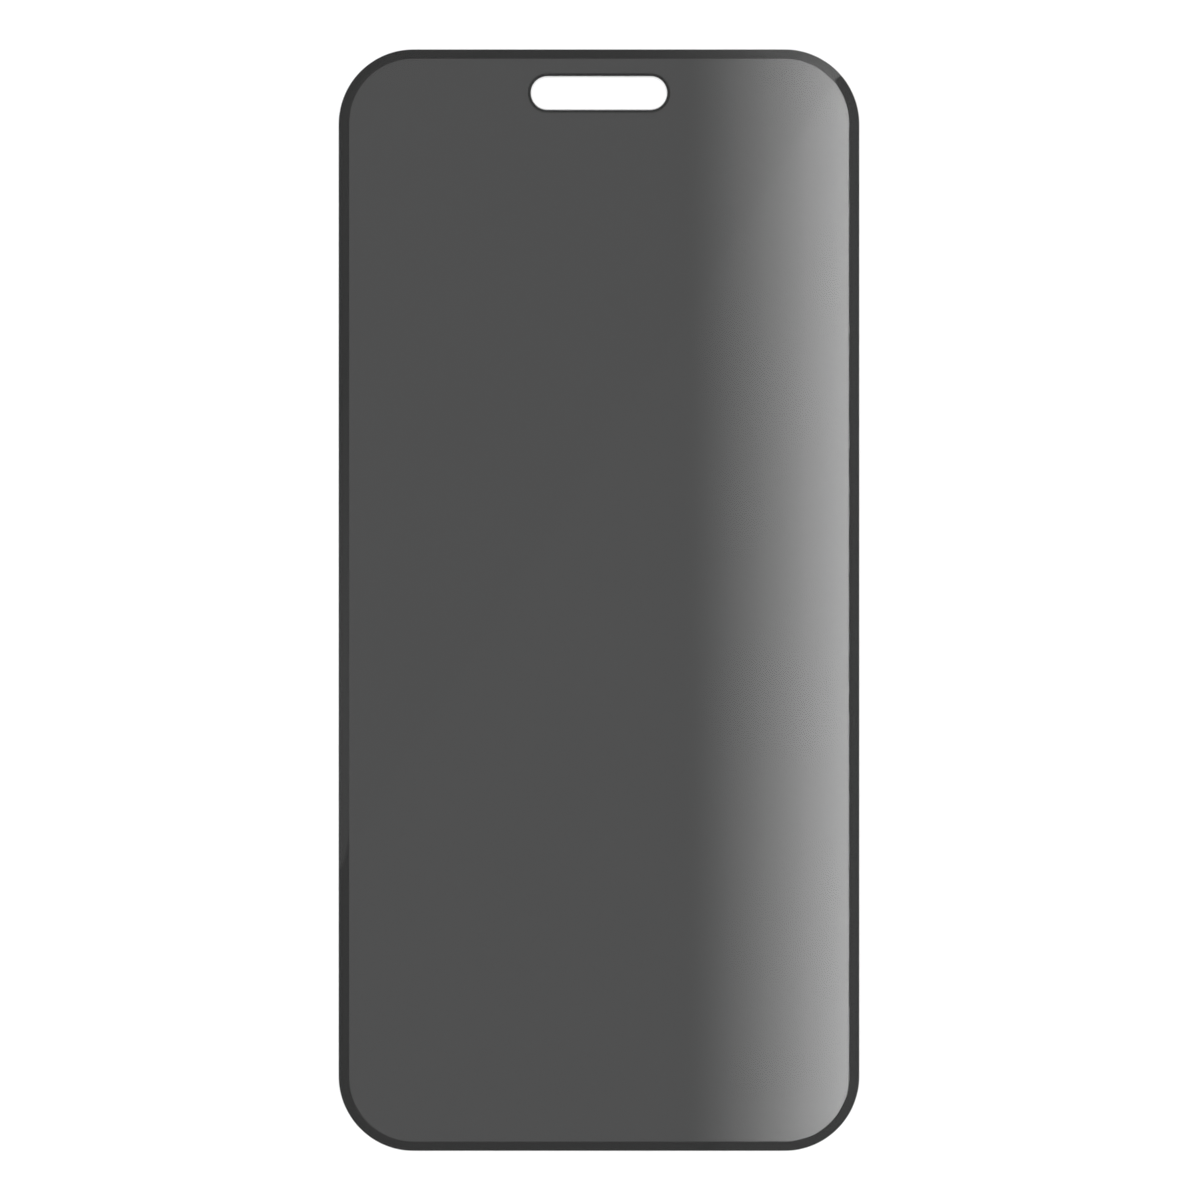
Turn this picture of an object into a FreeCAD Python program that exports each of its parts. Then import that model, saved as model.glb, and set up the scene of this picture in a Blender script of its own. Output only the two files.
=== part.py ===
import FreeCAD, Part
import math
import os

from FreeCAD import Vector

# A phone's privacy screen protector: a laminate that lies face up on its adhesive side.
# From the top down it is a tempered cover glass with a curved ground edge, a black border
# printed on the glass's underside, and a smoke-grey privacy film with its adhesive.
# The origin is the middle of the underside, +Y points to the end with the sensor slot.

# Driving dimensions, in millimetres

# Cover glass
glass_width = 68.0
glass_length = 143.9
glass_corner_radius = 9.74
glass_thickness = 0.33
edge_curve_width = 1.2   # plan width of the curved ground edge
edge_wall = 0.11         # upright wall left below the curve
arris = 0.05             # small bevel that takes the sharpness off the other glass edges

# Slot in front of the phone's camera and sensors
slot_length = 17.84
slot_width = 4.39
slot_below_top = 5.68    # from the glass's top edge to the slot's centre line

# Black border printed on the glass's underside
print_thickness = 0.02
border_side = 1.37       # along the two long sides
border_end = 1.21        # along the two ends
slot_rim = 0.375         # printed rim round the slot

# Privacy film, with the clear adhesive on both of its faces
film_thickness = 0.20
film_setback = 0.35      # from the glass's edge to the film's edge
film_slot_gap = 0.20     # from the glass's slot to the film's slot

# Values that follow from the driving dimensions
glass_bottom = film_thickness
glass_top = glass_bottom + glass_thickness
edge_drop = glass_thickness - edge_wall - arris   # how far the curve falls at the outline
print_bottom = glass_bottom - print_thickness
window_corner_radius = glass_corner_radius - border_side
slot_centre_y = glass_length / 2 - slot_below_top

# Directions, turns in degrees and the distance under which two points are one
origin = Vector(0, 0, 0)
up = Vector(0, 0, 1)
quarter_turn = 90
half_turn = 180
same_point = 1e-6


def rounded_outline(width, length, radius, centre_y, z):
    """Closed wire of a rectangle with round corners, or of a slot where a side's straight is nil."""
    straight_x = width / 2 - radius
    straight_y = length / 2 - radius
    corner_arcs = []
    for turn, (x_sign, y_sign) in enumerate([(1, 1), (-1, 1), (-1, -1), (1, -1)]):
        centre = Vector(x_sign * straight_x, centre_y + y_sign * straight_y, z)
        start = math.radians(turn * quarter_turn)
        end = math.radians((turn + 1) * quarter_turn)
        corner_arcs.append(Part.ArcOfCircle(Part.Circle(centre, up, radius), start, end))
    edges = []
    for arc, next_arc in zip(corner_arcs, corner_arcs[1:] + corner_arcs[:1]):
        edges.append(arc.toShape())
        if not arc.EndPoint.isEqual(next_arc.StartPoint, same_point):
            edges.append(Part.LineSegment(arc.EndPoint, next_arc.StartPoint).toShape())
    return Part.Wire(edges)


def plate(outline, thickness):
    """Flat solid that rises by a thickness from a closed outline."""
    return Part.Face(outline).extrude(Vector(0, 0, thickness))


def glass_outline(setback, z):
    """The glass's outline, drawn in by a setback."""
    return rounded_outline(
        glass_width - 2 * setback, glass_length - 2 * setback, glass_corner_radius - setback, 0, z
    )


def window_outline(z):
    """The clear window inside the printed border."""
    return rounded_outline(
        glass_width - 2 * border_side, glass_length - 2 * border_end, window_corner_radius, 0, z
    )


def slot_outline(margin, z):
    """The sensor slot with its half-round ends, widened by a margin all round."""
    width = slot_width + 2 * margin
    return rounded_outline(slot_length + 2 * margin, width, width / 2, slot_centre_y, z)


def edge_curve_section():
    """Section that is ground off the glass's upper edge, at the foot of its right-hand side."""
    radius = (edge_curve_width**2 + edge_drop**2) / (2 * edge_drop)
    half_arc = math.asin(edge_curve_width / radius) / 2
    foot = Vector(glass_width / 2, glass_corner_radius - glass_length / 2, glass_top)
    curve_start = foot - Vector(edge_curve_width, 0, 0)
    sag = radius * (1 - math.cos(half_arc))
    curve_middle = curve_start + Vector(radius * math.sin(half_arc), 0, -sag)
    curve_end = foot - Vector(0, 0, edge_drop)
    outer_low = curve_end + Vector(edge_curve_width, 0, 0)
    outer_high = outer_low + Vector(0, 0, 2 * edge_drop)
    inner_high = curve_start + Vector(0, 0, edge_drop)
    curve = Part.Arc(curve_start, curve_middle, curve_end).toShape()
    waste = Part.makePolygon([curve_end, outer_low, outer_high, inner_high, curve_start])
    return Part.Face(Part.Wire([curve] + waste.Edges))


def edge_curve_cutters():
    """Solids that grind the upper edge to a shallow curve: straight runs and corner turns."""
    long_run = Vector(0, glass_length - 2 * glass_corner_radius, 0)
    short_run = Vector(2 * glass_corner_radius - glass_width, 0, 0)
    corner_axis = (long_run - short_run) / 2
    section = edge_curve_section()
    half = []
    for run, axis in ((long_run, corner_axis), (short_run, corner_axis + short_run)):
        half.append(section.extrude(run))
        section = section.translated(run)
        half.append(section.revolve(axis, up, quarter_turn))
        section = section.rotated(axis, up, quarter_turn)
    return half + [cutter.rotated(origin, up, half_turn) for cutter in half]


def make_cover_glass():
    """Tempered glass sheet with its slot, arrises and curved ground edge."""
    sheet = plate(glass_outline(0, glass_bottom), glass_thickness)
    slot = plate(slot_outline(0, glass_bottom), glass_thickness)
    blank = sheet.cut(slot)
    rims = [edge for edge in blank.Edges if edge.BoundBox.ZLength < arris]
    seamed = blank.makeChamfer(arris, rims)
    return seamed.cut(edge_curve_cutters())


def make_border_print():
    """Black ink on the glass's flat underside: the outer border and the rim round the slot."""
    border = plate(glass_outline(arris, print_bottom), print_thickness)
    border = border.cut(plate(window_outline(print_bottom), print_thickness))
    rim = plate(slot_outline(slot_rim, print_bottom), print_thickness)
    rim = rim.cut(plate(slot_outline(arris, print_bottom), print_thickness))
    return Part.makeCompound([border, rim])


def make_privacy_film():
    """Film that fills the print's window up to the glass and runs on below the border."""
    backing = plate(glass_outline(film_setback, 0), print_bottom)
    window = plate(window_outline(print_bottom), print_thickness)
    window = window.cut(plate(slot_outline(slot_rim, print_bottom), print_thickness))
    film = backing.fuse(window)
    return film.cut(plate(slot_outline(film_slot_gap, 0), film_thickness))


def main():
    os.makedirs("parts", exist_ok=True)
    nodes = {
        "cover_glass": make_cover_glass(),
        "border_print": make_border_print(),
        "privacy_film": make_privacy_film(),
    }
    for name, shape in nodes.items():
        shape.exportStep(os.path.join("parts", name + ".step"))
        box = shape.optimalBoundingBox(False)
        size = [round(length, 3) for length in (box.XLength, box.YLength, box.ZLength)]
        print(name, "valid:", shape.isValid(), "volume:", round(shape.Volume, 3), "size:", size)


main()
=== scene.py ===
import bpy
import bmesh
import math
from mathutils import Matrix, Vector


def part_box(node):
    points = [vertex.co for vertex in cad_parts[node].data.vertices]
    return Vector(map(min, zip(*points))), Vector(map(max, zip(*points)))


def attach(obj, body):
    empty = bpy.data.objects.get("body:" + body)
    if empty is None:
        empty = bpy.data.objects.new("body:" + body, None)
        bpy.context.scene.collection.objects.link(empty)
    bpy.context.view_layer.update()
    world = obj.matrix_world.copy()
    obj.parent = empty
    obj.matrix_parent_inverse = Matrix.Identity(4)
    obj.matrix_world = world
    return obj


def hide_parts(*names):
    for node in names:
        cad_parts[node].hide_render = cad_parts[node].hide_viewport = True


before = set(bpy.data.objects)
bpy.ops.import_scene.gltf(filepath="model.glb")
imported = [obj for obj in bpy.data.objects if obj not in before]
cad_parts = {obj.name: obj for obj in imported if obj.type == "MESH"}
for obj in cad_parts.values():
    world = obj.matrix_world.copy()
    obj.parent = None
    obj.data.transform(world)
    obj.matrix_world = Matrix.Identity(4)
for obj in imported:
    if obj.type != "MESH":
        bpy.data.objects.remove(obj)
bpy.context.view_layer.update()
print("frame loaded:", sorted(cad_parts))

mm = 0.001  # pieces are modelled in millimetres and brought to metres when they are finished
tiny = 0.0005  # two places closer than this, in mm, are the same place


def nodeBox(node):  # a CAD node's lowest and highest corners, in mm
    low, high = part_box(node)
    return low / mm, high / mm


glassLow, glassHigh = nodeBox("cover_glass")
printLow, printHigh = nodeBox("border_print")
filmLow, filmHigh = nodeBox("privacy_film")


# Outlines that the three layers share, as width, length, corner radius and middle in Y

laminate = {
    "cornerRadius": 9.74,
    "cornerSegments": 32,
    "borderSide": 1.37,     # printed border along the long sides
    "borderEnd": 1.21,      # and along the two ends
    "slotLength": 17.84,
    "slotWidth": 4.39,
    "slotBelowTop": 5.68,   # from the top edge to the slot's middle
    "slotRim": 0.375,       # printed rim round the slot
    "filmSlotGap": 0.2,     # the film's slot is wider than the glass's
    "arris": 0.05,          # small bevel on the glass's sharp edges
    "smoothAngle": 20.0,    # degrees; the arrises stay crisp, the ground edge reads as one curve
    "overshoot": 1.0,       # how far a cutting tool reaches past the faces that it opens
    "onWall": 0.01,         # a point this near to the slot's outline lies on the slot's wall
}
slotY = glassHigh.y - laminate["slotBelowTop"]


def glassOutline(setback):
    return (glassHigh.x - glassLow.x - 2 * setback, glassHigh.y - glassLow.y - 2 * setback,
            laminate["cornerRadius"] - setback, 0)


def windowOutline():
    return (glassHigh.x - glassLow.x - 2 * laminate["borderSide"],
            glassHigh.y - glassLow.y - 2 * laminate["borderEnd"],
            laminate["cornerRadius"] - laminate["borderSide"], 0)


def slotOutline(margin):
    width = laminate["slotWidth"] + 2 * margin
    return laminate["slotLength"] + 2 * margin, width, width / 2, slotY


def onSlotWall(place):  # true for a point on the glass's slot outline
    reach = (laminate["slotLength"] - laminate["slotWidth"]) / 2
    nearest = max(-reach, min(reach, place.x))
    away = math.hypot(place.x - nearest, place.y - slotY)
    return abs(away - laminate["slotWidth"] / 2) < laminate["onWall"]


# Modelling helpers

def startPlane(name):  # one square face, alone in the selection, left in edit mode
    bpy.ops.object.select_all(action="DESELECT")
    bpy.ops.mesh.primitive_plane_add(size=1, location=(0, 0, 0))
    piece = bpy.context.active_object
    piece.name = name
    bpy.ops.object.mode_set(mode="EDIT")
    return piece


def shapeFace(outline, z):  # turns the selected square into a rectangle with round corners
    width, length, radius, centreY = outline
    bpy.ops.transform.resize(value=(width, length, 1), center_override=(0, 0, 0))
    bpy.ops.transform.translate(value=(0, centreY, z))
    bpy.ops.mesh.bevel(affect="VERTICES", offset=radius, segments=laminate["cornerSegments"],
                       profile=0.5, clamp_overlap=False)
    bpy.ops.mesh.remove_doubles(threshold=tiny)  # a slot's two half-round ends meet here


def raiseFace(height):
    bpy.ops.mesh.extrude_region_move(TRANSFORM_OT_translate={"value": (0, 0, height)})


def roundedPlate(name, outline, low, high):
    piece = startPlane(name)
    shapeFace(outline, low)
    raiseFace(high - low)
    bpy.ops.object.mode_set(mode="OBJECT")
    return piece


def flatRing(name, outer, inner, low, high):  # two outlines bridged, then raised
    piece = startPlane(name)
    shapeFace(outer, low)
    bpy.ops.mesh.primitive_plane_add(size=1, location=(0, 0, 0))
    shapeFace(inner, low)
    bpy.ops.mesh.select_all(action="SELECT")
    bpy.ops.mesh.delete(type="ONLY_FACE")
    bpy.ops.mesh.select_all(action="SELECT")
    bpy.ops.mesh.bridge_edge_loops()
    bpy.ops.mesh.select_all(action="SELECT")
    raiseFace(high - low)
    bpy.ops.object.mode_set(mode="OBJECT")
    return piece


def pickEdges(piece, test):  # in edit mode, selects the edges with both ends passing the test
    bpy.ops.mesh.select_mode(type="EDGE")
    bpy.ops.mesh.select_all(action="DESELECT")
    mesh = bmesh.from_edit_mesh(piece.data)
    for edge in mesh.edges:
        edge.select = all(test(vert.co) for vert in edge.verts)
    bmesh.update_edit_mesh(piece.data)


def selectOnly(piece):
    bpy.ops.object.select_all(action="DESELECT")
    bpy.context.view_layer.objects.active = piece
    piece.select_set(True)


def combine(piece, other, operation):  # boolean with a helper piece that is then used up
    selectOnly(piece)
    boolean = piece.modifiers.new("combine", "BOOLEAN")
    boolean.object = other
    boolean.operation = operation
    boolean.solver = "EXACT"
    bpy.ops.object.modifier_apply(modifier=boolean.name)
    bpy.data.objects.remove(other)


def cutSlot(piece, margin, low, high):
    combine(piece, roundedPlate("slotTool", slotOutline(margin), low, high), "DIFFERENCE")


def bringToMetres(piece):
    piece.scale = (mm, mm, mm)
    bpy.ops.object.transform_apply(location=True, rotation=True, scale=True)


def finishPiece(piece, node, materials):
    selectOnly(piece)
    bpy.ops.object.mode_set(mode="EDIT")
    bpy.ops.mesh.select_all(action="SELECT")
    bpy.ops.mesh.remove_doubles(threshold=tiny)
    bpy.ops.mesh.normals_make_consistent(inside=False)
    bpy.ops.object.mode_set(mode="OBJECT")
    bringToMetres(piece)
    bpy.ops.object.shade_smooth_by_angle(angle=math.radians(laminate["smoothAngle"]))
    for material in materials:
        piece.data.materials.append(material)
    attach(piece, "root")
    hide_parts(node)
    print(piece.name, "finished:", len(piece.data.polygons), "faces")


# Material helpers

def newMaterial(name):
    material = bpy.data.materials.new(name)
    material.use_nodes = True
    return material, material.node_tree.nodes["Principled BSDF"]


def addNode(tree, kind, settings=None, **inputs):  # inputs go by name, or by number as _0, _1 ...
    node = tree.nodes.new(kind)
    for key, value in (settings or {}).items():
        setattr(node, key, value)
    for key, value in inputs.items():
        socket = node.inputs[int(key[1:])] if key[1:].isdigit() else node.inputs[key]
        if isinstance(value, bpy.types.NodeSocket):
            tree.links.new(value, socket)
        else:
            socket.default_value = value
    return node


def addMath(tree, operation, *values):
    inputs = {"_" + str(index): value for index, value in enumerate(values)}
    return addNode(tree, "ShaderNodeMath", {"operation": operation}, **inputs).outputs[0]


def addFade(tree, value, none, full, low=0.0, high=1.0):  # soft step from low at none to high at full
    return addNode(tree, "ShaderNodeMapRange", {"interpolation_type": "SMOOTHSTEP"}, _0=value,
                   _1=none, _2=full, _3=low, _4=high).outputs[0]


def addRamp(tree, value, none, full):  # straight rise from 0 at none to 1 at full
    return addNode(tree, "ShaderNodeMapRange", _0=value, _1=none, _2=full).outputs[0]


def addPlace(tree):
    return addNode(tree, "ShaderNodeTexCoord").outputs["Object"]


def addAxes(tree, place):
    return addNode(tree, "ShaderNodeSeparateXYZ", _0=place).outputs


# Mottle: slow or fine unevenness, shared by the glass, the ink and the film

mottleNoise = {
    "detail": 5.0,
    "roughness": 0.6,
}


def makeMottle():
    group = bpy.data.node_groups.new("fineMottle", "ShaderNodeTree")
    for name, kind in (("Vector", "NodeSocketVector"), ("Colour", "NodeSocketColor"),
                       ("Cells per metre", "NodeSocketFloat"), ("Spread", "NodeSocketFloat")):
        group.interface.new_socket(name=name, in_out="INPUT", socket_type=kind)
    for name, kind in (("Colour", "NodeSocketColor"), ("Value", "NodeSocketFloat")):
        group.interface.new_socket(name=name, in_out="OUTPUT", socket_type=kind)
    given = group.nodes.new("NodeGroupInput").outputs
    result = group.nodes.new("NodeGroupOutput").inputs
    noise = addNode(group, "ShaderNodeTexNoise", Vector=given["Vector"], Scale=given["Cells per metre"],
                    Detail=mottleNoise["detail"], Roughness=mottleNoise["roughness"])
    centred = addMath(group, "SUBTRACT", noise.outputs[0], 0.5)
    scaled = addMath(group, "MULTIPLY_ADD", centred, given["Spread"], 1.0)  # varies about 1
    tinted = addNode(group, "ShaderNodeVectorMath", {"operation": "SCALE"}, _0=given["Colour"],
                     Scale=scaled)
    group.links.new(tinted.outputs[0], result["Colour"])
    group.links.new(scaled, result["Value"])
    return group


mottleGroup = makeMottle()


def addMottle(tree, colour, cells, spread):
    inputs = {"Vector": addPlace(tree), "Colour": colour, "Cells per metre": cells, "Spread": spread}
    return addNode(tree, "ShaderNodeGroup", {"node_tree": mottleGroup}, **inputs).outputs


def linkRoughness(tree, mottle, roughness):
    uneven = addMath(tree, "MULTIPLY", mottle["Value"], roughness)
    tree.links.new(uneven, tree.nodes["Principled BSDF"].inputs["Roughness"])


# Cover glass: polished sheet with the curved ground edge

coverGlass = {
    "curveWidth": 1.2,       # plan width of the ground edge
    "curveSteps": 16,
    "wall": 0.11,            # upright wall under the curve
    "wallRound": 0.07,       # polished corner between wall and curve
    "roundSegments": 6,
    "arrisSegments": 2,
    "strayGap": 0.02,        # points of the slot's rim that are closer than this are merged
    "seat": 0.004,           # how far the tops of the print and the film sit inside the glass
    "tint": (0.985, 1.0, 0.995, 1.0),
    "ior": 1.52,
    "roughness": 0.012,
    "waveCells": 180.0,      # faint unevenness of the polish
    "waveSpread": 0.5,
}


def makeGlassMaterial():
    material, shader = newMaterial("polishedGlass")
    tree = material.node_tree
    shader.inputs["Base Color"].default_value = coverGlass["tint"]
    shader.inputs["Transmission Weight"].default_value = 1.0
    shader.inputs["IOR"].default_value = coverGlass["ior"]
    mottle = addMottle(tree, coverGlass["tint"], coverGlass["waveCells"], coverGlass["waveSpread"])
    linkRoughness(tree, mottle, coverGlass["roughness"])
    return material


def buildCoverGlass():
    arris = laminate["arris"]
    past = laminate["overshoot"]
    bottom = glassLow.z - coverGlass["seat"]
    wallTop = glassLow.z + arris + coverGlass["wall"]
    drop = glassHigh.z - wallTop
    curveRadius = (coverGlass["curveWidth"] ** 2 + drop ** 2) / (2 * drop)
    turn = math.asin(coverGlass["curveWidth"] / curveRadius)
    steps = coverGlass["curveSteps"]

    piece = startPlane("cover_glass_polished")
    shapeFace(glassOutline(0), bottom)
    raiseFace(wallTop - bottom)
    angles = [turn * (1 - step / steps) for step in range(steps + 1)]
    for outer, inner in zip(angles, angles[1:]):  # each inset steps in and up along the curve
        bpy.ops.mesh.inset(thickness=curveRadius * (math.sin(outer) - math.sin(inner)),
                           depth=curveRadius * (math.cos(inner) - math.cos(outer)))
    bpy.ops.mesh.inset(thickness=arris, depth=0)  # level band that keeps the face's shading flat
    pickEdges(piece, lambda place: abs(place.z - wallTop) < tiny)
    bpy.ops.mesh.bevel(affect="EDGES", offset=coverGlass["wallRound"], segments=coverGlass["roundSegments"])
    pickEdges(piece, lambda place: abs(place.z - bottom) < tiny)
    bpy.ops.mesh.bevel(affect="EDGES", offset=arris, segments=coverGlass["arrisSegments"])
    bpy.ops.object.mode_set(mode="OBJECT")

    def onSlotRim(place):
        return onSlotWall(place) and min(abs(place.z - bottom), abs(place.z - glassHigh.z)) < tiny

    cutSlot(piece, 0, bottom - past, glassHigh.z + past)
    bpy.ops.object.mode_set(mode="EDIT")
    pickEdges(piece, onSlotRim)
    bpy.ops.mesh.remove_doubles(threshold=coverGlass["strayGap"])  # the cut can leave a stray point
    pickEdges(piece, onSlotRim)
    bpy.ops.mesh.bevel(affect="EDGES", offset=arris, segments=coverGlass["arrisSegments"])
    bpy.ops.object.mode_set(mode="OBJECT")

    finishPiece(piece, "cover_glass", [makeGlassMaterial()])
    piece.visible_shadow = False   # lamps reach the film and the ink through the glass
    piece.visible_diffuse = False


# Border print: black ink on the glass's underside

borderPrint = {
    "colour": (0.0018, 0.0020, 0.0019, 1.0),
    "roughness": 0.55,
    "grainCells": 9000.0,    # fine grain of the screen print
    "grainSpread": 0.5,
}


def makeInkMaterial():
    material, shader = newMaterial("blackInk")
    tree = material.node_tree
    mottle = addMottle(tree, borderPrint["colour"], borderPrint["grainCells"], borderPrint["grainSpread"])
    tree.links.new(mottle["Colour"], shader.inputs["Base Color"])
    linkRoughness(tree, mottle, borderPrint["roughness"])
    shader.inputs["Specular IOR Level"].default_value = 0.0  # bonded to the glass, no gloss of its own
    return material


def buildBorderPrint():
    arris = laminate["arris"]
    levels = (printLow.z, printHigh.z)
    piece = flatRing("border_print_ink", glassOutline(arris), windowOutline(), *levels)
    rim = flatRing("slotRim", slotOutline(laminate["slotRim"]), slotOutline(arris), *levels)
    selectOnly(piece)
    rim.select_set(True)
    bpy.ops.object.join()
    finishPiece(piece, "border_print", [makeInkMaterial()])


# Privacy film: smoke-grey louvre film with its clear glue and adhesive

privacyFilm = {
    "colour": (0.0385, 0.0386, 0.0387, 1.0),
    "roughness": 0.5,
    "smokeCells": 60.0,      # slow unevenness of the smoke tint
    "smokeSpread": 0.06,
    "louvrePitch": 0.09,     # mm from one louvre to the next, across the width
    "louvreDepth": 0.05,     # share of the tint that the louvres take away
    "adhesiveRoughness": 0.18,
    "facesDown": -0.5,       # a face whose normal has less than this in Z is part of the underside
}


def addSmoke(tree):
    return addMottle(tree, privacyFilm["colour"], privacyFilm["smokeCells"], privacyFilm["smokeSpread"])


def makeFilmMaterial():
    material, shader = newMaterial("smokeFilm")
    tree = material.node_tree
    mottle = addSmoke(tree)
    across = addAxes(tree, addPlace(tree))["X"]
    phase = addMath(tree, "MULTIPLY", across, 2 * math.pi / (privacyFilm["louvrePitch"] * mm))
    half = privacyFilm["louvreDepth"] / 2
    louvres = addMath(tree, "MULTIPLY_ADD", addMath(tree, "SINE", phase), half, 1 - half)
    tinted = addNode(tree, "ShaderNodeVectorMath", {"operation": "SCALE"}, _0=mottle["Colour"],
                     Scale=louvres)
    tree.links.new(tinted.outputs[0], shader.inputs["Base Color"])
    linkRoughness(tree, mottle, privacyFilm["roughness"])
    shader.inputs["Specular IOR Level"].default_value = 0.0  # glued to the glass, no gloss of its own
    return material


def makeAdhesiveMaterial():
    material, shader = newMaterial("clearAdhesive")
    tree = material.node_tree
    mottle = addSmoke(tree)
    tree.links.new(mottle["Colour"], shader.inputs["Base Color"])
    linkRoughness(tree, mottle, privacyFilm["adhesiveRoughness"])
    return material


def buildPrivacyFilm():
    past = laminate["overshoot"]
    setback = filmLow.x - glassLow.x
    middle = (filmLow.z + printLow.z) / 2
    piece = roundedPlate("privacy_film_smoke", glassOutline(setback), filmLow.z, printLow.z)
    combine(piece, roundedPlate("windowTool", windowOutline(), middle, filmHigh.z), "UNION")
    cutSlot(piece, laminate["slotRim"], printLow.z, filmHigh.z + past)  # room for the printed rim
    cutSlot(piece, laminate["filmSlotGap"], filmLow.z - past, filmHigh.z + past)
    finishPiece(piece, "privacy_film", [makeFilmMaterial(), makeAdhesiveMaterial()])
    for face in piece.data.polygons:  # the underside is the soft adhesive, open to the air
        face.material_index = 1 if face.normal.z < privacyFilm["facesDown"] else 0


buildCoverGlass()
buildBorderPrint()
buildPrivacyFilm()


# Camera: straight above the glass, framed as in the photograph

camera = {
    "lens": 100.0,
    "sensor": 36.0,
    "frameWidth": 156.72,    # mm of the glass's plane that the square picture takes in
    "aim": (0.133, 0.017),   # mm from the glass's middle to the picture's middle
    "clipStart": 0.01,       # metres
}
cameraRise = camera["frameWidth"] * camera["lens"] / camera["sensor"]


def buildCamera():
    aimX, aimY = camera["aim"]
    height = glassHigh.z + cameraRise
    bpy.ops.object.camera_add(location=(aimX * mm, aimY * mm, height * mm), rotation=(0, 0, 0))
    shot = bpy.context.active_object
    shot.data.lens = camera["lens"]
    shot.data.sensor_width = camera["sensor"]
    shot.data.clip_start = camera["clipStart"]
    bpy.context.scene.camera = shot
    print("camera at", round(height), "mm")


# Studio: white floor, soft boxes round the sides, and a surround with strips for the glass to mirror

studio = {
    "floorSize": 1.3,        # metres; evenly lit as far as it goes, so it meets the backdrop unseen
    "floorColour": (0.92, 0.92, 0.92, 1.0),
    "floorRoughness": 0.9,
    "boxPower": 2.17,        # watts of each soft box
    "boxSize": 0.5,          # metres
    "boxDistance": 0.95,
    "boxTilt": 58.0,         # degrees from straight above
    "boxTurns": (45, 135, 225, 315),
    "dome": 0.8,             # radiance of the surround overhead
    "horizon": 0.22,         # and low down, which keeps the glass dark from the side
    "domeFrom": 46.0,        # degrees above the horizon where the surround is at its full strength
    "backdrop": 1.0,         # radiance of the surround where the camera sees it past the floor
    "strips": 24,            # leaning strips of light all the way round
    "stripGlow": 0.42,
    "stripWidth": 0.75,      # share of a strip's spacing that its soft side takes up
    "stripTurn": 2.1,        # degrees
    "stripLean": -0.6,       # how far a strip leans over as it rises
    "stripFoot": (3.0, 11.0),      # degrees above the horizon between no strip and all of it
    "stripTop": (54.0, 46.0),
}


def buildStudio():
    bpy.ops.object.select_all(action="DESELECT")
    bpy.ops.mesh.primitive_plane_add(size=studio["floorSize"], location=(0, 0, 0))
    floor = bpy.context.active_object
    floor.name = "studioFloor"
    material, shader = newMaterial("floorWhite")
    shader.inputs["Base Color"].default_value = studio["floorColour"]
    shader.inputs["Roughness"].default_value = studio["floorRoughness"]
    shader.inputs["Specular IOR Level"].default_value = 0.0
    floor.data.materials.append(material)

    tilt = math.radians(studio["boxTilt"])
    away = studio["boxDistance"] * math.sin(tilt)
    height = studio["boxDistance"] * math.cos(tilt)
    for turn in studio["boxTurns"]:
        heading = math.radians(turn)
        place = (away * math.sin(heading), -away * math.cos(heading), height)
        bpy.ops.object.light_add(type="AREA", location=place, rotation=(tilt, 0, heading))
        box = bpy.context.active_object
        box.name = "softBox" + str(turn)
        box.data.energy = studio["boxPower"]
        box.data.size = studio["boxSize"]
        box.visible_glossy = False  # no hard-edged box in the glass
    bpy.context.scene.view_settings.view_transform = "Standard"
    print("studio ready")


def riseOf(degrees):
    return math.sin(math.radians(degrees))


def buildSurround():
    world = bpy.data.worlds.new("studioSurround")
    bpy.context.scene.world = world
    world.use_nodes = True
    tree = world.node_tree
    surround = tree.nodes["Background"]
    surround.inputs["Color"].default_value = (1, 1, 1, 1)
    axes = addAxes(tree, addNode(tree, "ShaderNodeTexCoord").outputs["Generated"])
    rise = axes["Z"]
    dome = addFade(tree, rise, 0.0, riseOf(studio["domeFrom"]), studio["horizon"], studio["dome"])

    around = addMath(tree, "ARCTAN2", axes["Y"], axes["X"])
    leaning = addMath(tree, "MULTIPLY_ADD", rise, studio["stripLean"], around)
    turned = addMath(tree, "SUBTRACT", math.radians(studio["stripTurn"]), leaning)
    along = addMath(tree, "FRACT", addMath(tree, "DIVIDE", turned, 2 * math.pi / studio["strips"]))
    strip = addFade(tree, along, 1 - studio["stripWidth"], 1.0)  # soft on one side, crisp on the other
    foot = addFade(tree, rise, *[riseOf(degrees) for degrees in studio["stripFoot"]])
    top = addFade(tree, rise, *[riseOf(degrees) for degrees in studio["stripTop"]])
    ended = addMath(tree, "MULTIPLY", addMath(tree, "MULTIPLY", strip, foot), top)
    lit = addMath(tree, "MULTIPLY_ADD", ended, studio["stripGlow"], dome)

    seen = addNode(tree, "ShaderNodeLightPath").outputs["Is Camera Ray"]
    shown = addNode(tree, "ShaderNodeMix", {"data_type": "FLOAT"}, _0=seen, _2=lit, _3=studio["backdrop"])
    tree.links.new(shown.outputs[0], surround.inputs["Strength"])
    print("surround ready")


# Reflection cards above the glass, in mm; what is read on the glass is carried up to them by mirrored

cardHeight = 3.0  # they hang this many times as high as the camera
cardRise = cardHeight * cameraRise


def mirrored(x, y):  # where a ray from the camera, mirrored by the flat glass at x, y, meets the cards
    aimX, aimY = camera["aim"]
    return x + (x - aimX) * cardHeight, y + (y - aimY) * cardHeight


def startCard(name, low, high, lift):  # a rectangle above the glass, left in edit mode
    card = startPlane(name)
    bpy.ops.transform.resize(value=(high[0] - low[0], high[1] - low[1], 1), center_override=(0, 0, 0))
    bpy.ops.transform.translate(value=((low[0] + high[0]) / 2, (low[1] + high[1]) / 2,
                                       glassHigh.z + cardRise + lift))
    return card


def trimCard(start, end):  # takes off what lies to the right of a line, seen along it
    length = math.dist(start, end)
    away = ((end[1] - start[1]) / length, (start[0] - end[0]) / length, 0)
    bpy.ops.mesh.select_all(action="SELECT")
    bpy.ops.mesh.bisect(plane_co=(start[0], start[1], 0), plane_no=away, clear_outer=True)


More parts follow.
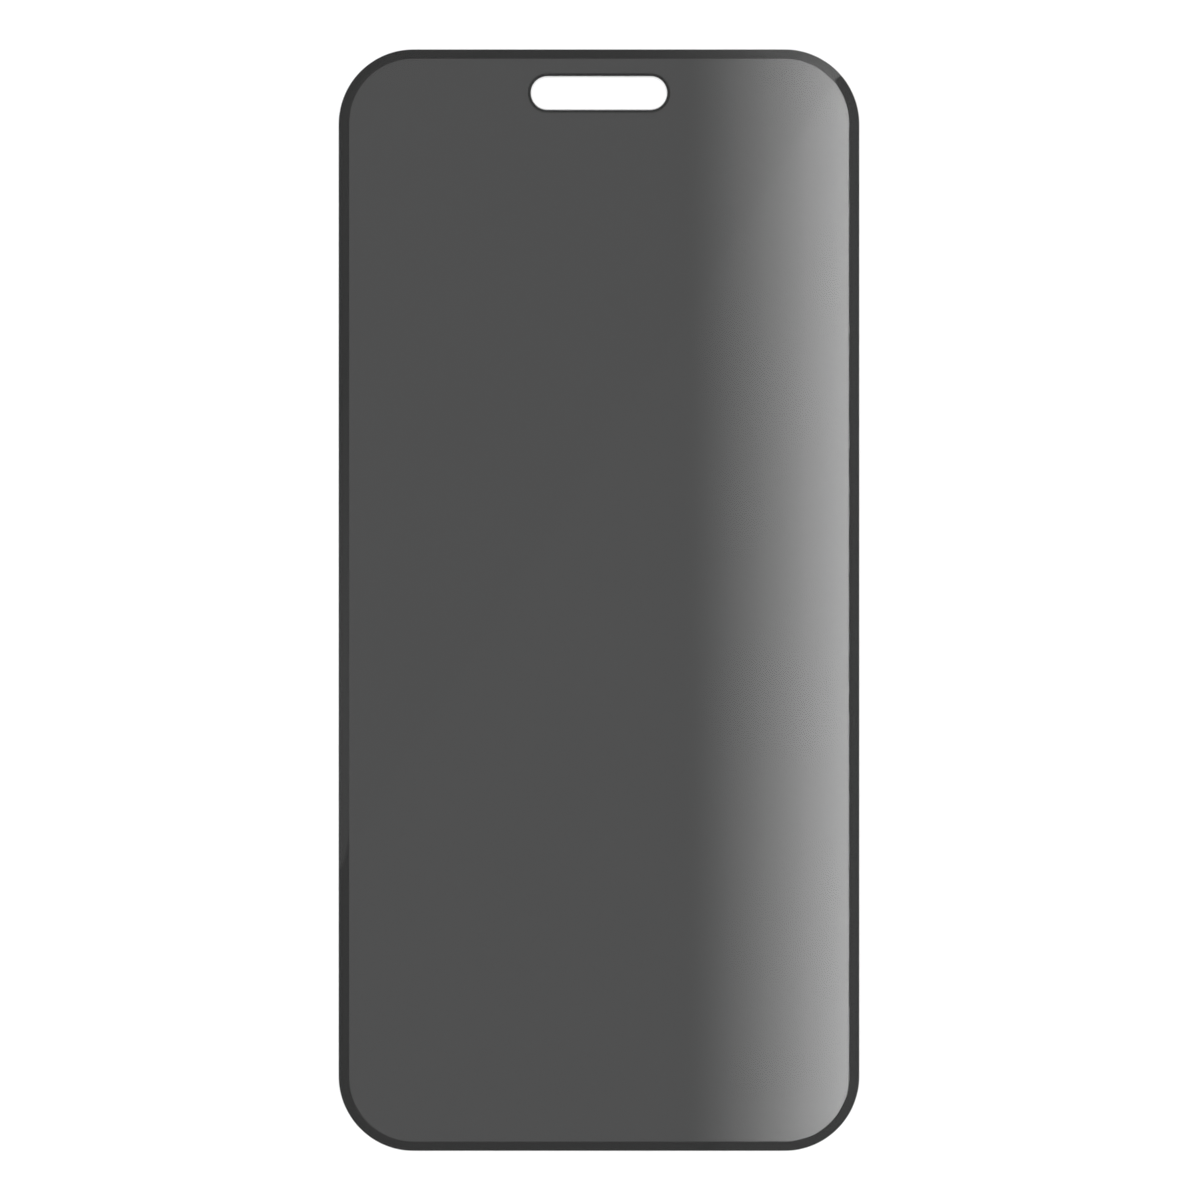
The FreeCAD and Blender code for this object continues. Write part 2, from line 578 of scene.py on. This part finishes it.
def finishCard(card, material):  # mirrored by the gloss, and unseen otherwise
    bpy.ops.object.mode_set(mode="OBJECT")
    bringToMetres(card)
    card.data.materials.append(material)
    card.visible_camera = False
    card.visible_diffuse = False
    card.visible_transmission = False
    card.visible_shadow = False
    print(card.name, "ready")


def cardMaterial(name):
    material = bpy.data.materials.new(name)
    material.use_nodes = True
    tree = material.node_tree
    tree.nodes.remove(tree.nodes["Principled BSDF"])
    glow = addNode(tree, "ShaderNodeEmission")
    tree.links.new(glow.outputs[0], tree.nodes["Material Output"].inputs["Surface"])
    return material, tree, glow, addPlace(tree)


# Window card: the bright fall-off that the glass mirrors along its right-hand side

windowCard = {
    "startX": 12.0,          # mm on the glass where the glow begins
    "linear": 2.6,           # radiance as linear * t + square * t * t
    "square": 5.07,
    "sheenTop": (31.18, 68.32),    # mm on the glass; above this diagonal the glow is a little weaker
    "sheenFoot": (-33.53, -34.10),
    "sheenGlowLoss": 0.07,
    "sheenDomeLoss": 0.024,
}


def buildWindowCard():
    width, length, radius, centreY = windowOutline()
    startX = mirrored(windowCard["startX"], 0)[0]
    endX = mirrored(width / 2, 0)[0]
    middleX, middleY = mirrored(0, centreY)
    grown = 1 + cardHeight
    card = startPlane("windowCard")
    shapeFace((grown * width, grown * length, grown * radius, middleY), glassHigh.z + cardRise)
    bpy.ops.transform.translate(value=(middleX, 0, 0))

    material, tree, glow, place = cardMaterial("windowGlow")
    ramp = addRamp(tree, addAxes(tree, place)["X"], startX * mm, endX * mm)
    slope = addMath(tree, "MULTIPLY_ADD", ramp, windowCard["square"], windowCard["linear"])
    fallOff = addMath(tree, "MULTIPLY", slope, ramp)
    lit = addMath(tree, "ADD", fallOff, studio["dome"])
    topX, topY = mirrored(*windowCard["sheenTop"])
    footX, footY = mirrored(*windowCard["sheenFoot"])
    across = (footY - topY, topX - footX, 0)  # points up and to the left
    side = addNode(tree, "ShaderNodeVectorMath", {"operation": "DOT_PRODUCT"}, _0=place, _1=across)
    above = addMath(tree, "GREATER_THAN", side.outputs["Value"],
                    (across[0] * footX + across[1] * footY) * mm)
    loss = addMath(tree, "MULTIPLY_ADD", fallOff, windowCard["sheenGlowLoss"], windowCard["sheenDomeLoss"])
    lost = addMath(tree, "MULTIPLY", loss, above)
    tree.links.new(addMath(tree, "SUBTRACT", lit, lost), glow.inputs["Strength"])
    finishCard(card, material)


# Border cards: weaker glows that the curved ground edge mirrors from further out

borderCards = {
    "reach": 1700.0,         # mm from the middle
    "fadeFrom": 1150.0,      # as far out as the steep end of the ground edge mirrors
    "softStart": 0.2,        # share of a card's ramp over which the card itself comes in
    "lift": 1.0,             # the window card hangs below them and hides them inside the window
    "overlap": 40.0,         # and they run on behind it
    "leftFade": (166.0, -75.0),    # mm along the left card between no glow and all of it
    "leftFoot": -260.0,
    "leftGlow": 0.33,
    "leftCut": ((-952.5, -168.5), (-132.8, -126.6)),  # where the left card's glow breaks off
    "topFade": (-21.0, 30.0),      # mm on the glass, across the width
    "topGlow": 1.92,
    "topPower": 5.2,         # the top card's glow keeps to its right-hand end
    "rightFade": (13.0, 33.5),
    "rightGlow": 0.25,
    "cornerCut": ((123.8, 267.6), (723.3, 822.0)),  # between the top and the right card
}


def addWidthRamp(tree, place, none, full):  # rises along the border's own X where it mirrors this place
    axes = addAxes(tree, place)
    farY = addMath(tree, "ABSOLUTE", axes["Y"])
    slope = addMath(tree, "DIVIDE", addMath(tree, "SUBTRACT", farY, glassHigh.y * mm), cardRise * mm)
    longer = addMath(tree, "SQRT", addMath(tree, "MULTIPLY_ADD", slope, slope, 1.0))
    levelRay = math.hypot(1, glassHigh.y / cameraRise)
    spread = addMath(tree, "MULTIPLY_ADD", longer, cardHeight / levelRay, 1.0)
    straightEdge = addMath(tree, "DIVIDE", axes["X"], spread)

    radius = laminate["cornerRadius"]
    cornerX = glassHigh.x - radius
    centreX, centreY = mirrored(cornerX, glassHigh.y - radius)
    folded = addNode(tree, "ShaderNodeCombineXYZ", X=axes["X"], Y=farY)
    spoke = addNode(tree, "ShaderNodeVectorMath", {"operation": "SUBTRACT"}, _0=folded.outputs[0],
                    _1=(centreX * mm, centreY * mm, 0))
    unit = addNode(tree, "ShaderNodeVectorMath", {"operation": "NORMALIZE"}, _0=spoke.outputs[0])
    turn = addAxes(tree, unit.outputs[0])["X"]
    roundCorner = addMath(tree, "MULTIPLY_ADD", turn, radius * mm, cornerX * mm)
    return addRamp(tree, addMath(tree, "MINIMUM", straightEdge, roundCorner), none * mm, full * mm)


def lightCard(tree, place, glow, ramp, strength, power=1.0):  # thins out into the surround
    axes = addAxes(tree, place)
    flat = addNode(tree, "ShaderNodeCombineXYZ", X=axes["X"], Y=axes["Y"])
    away = addNode(tree, "ShaderNodeVectorMath", {"operation": "LENGTH"}, _0=flat.outputs[0])
    near = addFade(tree, away.outputs["Value"], borderCards["reach"] * mm, borderCards["fadeFrom"] * mm)
    begun = addFade(tree, ramp, 0.0, borderCards["softStart"])
    share = addMath(tree, "POWER", ramp, power)
    lit = addMath(tree, "MULTIPLY_ADD", share, strength, studio["dome"])
    tree.links.new(lit, glow.inputs["Strength"])
    clear = addNode(tree, "ShaderNodeBsdfTransparent")
    thinned = addNode(tree, "ShaderNodeMixShader", _0=addMath(tree, "MULTIPLY", near, begun),
                      _1=clear.outputs[0], _2=glow.outputs[0])
    tree.links.new(thinned.outputs[0], tree.nodes["Material Output"].inputs["Surface"])


def buildLeftCard():
    none, full = borderCards["leftFade"]
    inner = mirrored(-windowOutline()[0] / 2, 0)[0]
    card = startCard("leftCard", (-borderCards["reach"], borderCards["leftFoot"]),
                     (inner + borderCards["overlap"], none), borderCards["lift"])
    trimCard(*borderCards["leftCut"])
    material, tree, glow, place = cardMaterial("leftGlow")
    ramp = addFade(tree, addAxes(tree, place)["Y"], none * mm, full * mm)
    lightCard(tree, place, glow, ramp, borderCards["leftGlow"])
    finishCard(card, material)


def buildTopCard():
    reach = borderCards["reach"]
    none, full = borderCards["topFade"]
    inner = mirrored(0, windowOutline()[1] / 2)[1]
    card = startCard("topCard", (mirrored(none, 0)[0], inner - borderCards["overlap"]),
                     (reach, reach), borderCards["lift"])
    trimCard(*borderCards["cornerCut"])
    material, tree, glow, place = cardMaterial("topGlow")
    ramp = addWidthRamp(tree, place, none, full)
    lightCard(tree, place, glow, ramp, borderCards["topGlow"], borderCards["topPower"])
    finishCard(card, material)


def buildRightCard():
    reach = borderCards["reach"]
    none, full = borderCards["rightFade"]
    card = startCard("rightCard", (mirrored(none, 0)[0], -reach), (reach, reach), borderCards["lift"])
    trimCard(*reversed(borderCards["cornerCut"]))
    material, tree, glow, place = cardMaterial("rightGlow")
    ramp = addWidthRamp(tree, place, none, full)
    lightCard(tree, place, glow, ramp, borderCards["rightGlow"])
    finishCard(card, material)


buildCamera()
buildStudio()
buildSurround()
buildWindowCard()
buildLeftCard()
buildTopCard()
buildRightCard()
